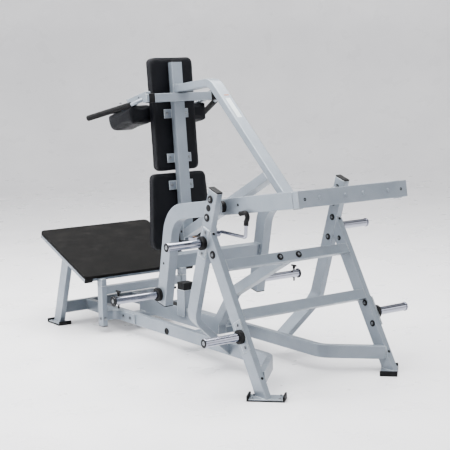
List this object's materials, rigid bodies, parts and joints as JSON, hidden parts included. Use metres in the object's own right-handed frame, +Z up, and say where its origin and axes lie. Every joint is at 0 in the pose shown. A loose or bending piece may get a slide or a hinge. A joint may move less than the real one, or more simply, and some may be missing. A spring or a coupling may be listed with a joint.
{
  "type": "leg press machine",
  "caption": "Plate-loaded lever machine for leg presses and squats: back and shoulder pads on a swinging frame over an inclined foot platform.",
  "frame": {"origin": "middle of the plan bounding box, on the floor", "axes": "+Z up; +Y to the machine's rear, away from the foot platform; +X to the left of a user whose back is on the pads and who faces the platform's high end"},
  "size_m": [1.526, 2.9812, 1.9086],
  "materials": {
    "silver_paint": "satin",
    "chrome_bar": "polished",
    "deck_rubber": "matte",
    "pad_leather": "satin",
    "black_plastic": "matte",
    "black_rubber": "matte"
  },
  "bodies": {
    "base_frame": {"beam_strip": "black_rubber", "central_beam": "silver_paint", "front_cross_tube": "silver_paint", "left_base_rail": "silver_paint", "left_bearing_housing": "silver_paint", "left_front_foot_shoe": "black_rubber", "left_front_platform_leg": "silver_paint", "left_lower_storage_collar": "black_rubber", "left_lower_storage_horn": "chrome_bar", "left_platform_side_tube": "silver_paint", "left_rear_foot_shoe": "black_rubber", "left_rear_leg": "silver_paint", "left_rear_platform_post": "silver_paint", "left_upper_storage_collar": "black_rubber", "left_upper_storage_horn": "chrome_bar", "left_upright": "silver_paint", "lower_crossbar": "silver_paint", "lower_platform_crossbar": "silver_paint", "platform_deck": "deck_rubber", "rear_platform_crossbar": "silver_paint", "right_base_rail": "silver_paint", "right_bearing_housing": "silver_paint", "right_front_foot_shoe": "black_rubber", "right_front_platform_leg": "silver_paint", "right_lower_storage_collar": "black_rubber", "right_lower_storage_horn": "chrome_bar", "right_platform_side_tube": "silver_paint", "right_rear_foot_shoe": "black_rubber", "right_rear_leg": "silver_paint", "right_rear_platform_post": "silver_paint", "right_upper_storage_collar": "black_rubber", "right_upper_storage_horn": "chrome_bar", "right_upright": "silver_paint", "stop_bumper": "black_rubber", "upper_crossbar": "silver_paint"},
    "lever_frame": {"left_arm_tube": "silver_paint", "right_arm_tube": "silver_paint", "rear_crossbeam": "silver_paint", "torque_tube": "silver_paint", "lower_cross_tube": "silver_paint", "spine_tube": "silver_paint", "boom_tube": "silver_paint", "brace_tube": "silver_paint", "yoke_bar": "silver_paint", "left_yoke_arm": "silver_paint", "right_yoke_arm": "silver_paint", "left_grip": "black_rubber", "right_grip": "black_rubber", "left_shoulder_pad": "pad_leather", "right_shoulder_pad": "pad_leather", "upper_back_pad": "pad_leather", "lower_back_pad": "pad_leather", "left_loading_horn": "chrome_bar", "right_loading_horn": "chrome_bar", "left_loading_collar": "black_rubber", "right_loading_collar": "black_rubber"},
    "left_pin": {"left_lock_pin": "black_plastic"},
    "right_pin": {"right_lock_pin": "black_plastic"},
    "lockout": {"lockout_lever": "chrome_bar", "lockout_grip": "black_rubber"}
  },
  "joints": [
    {"name": "lever_swing", "type": "hinge", "parent": "base_frame", "child": "lever_frame", "pos_m": [0, 0.78516, 1.04], "axis": [1, 0, 0], "range_deg": [-8, 12]},
    {"name": "left_pin_lift", "type": "slide", "parent": "lever_frame", "child": "left_pin", "axis": [0, 0, 1], "range_m": [0, 0.045]},
    {"name": "right_pin_lift", "type": "slide", "parent": "lever_frame", "child": "right_pin", "axis": [0, 0, 1], "range_m": [0, 0.045]},
    {"name": "lockout_turn", "type": "hinge", "parent": "base_frame", "child": "lockout", "pos_m": [0.43, 0.75716, 0.88], "axis": [1, 0, 0], "range_deg": [-5, 15]}
  ]
}
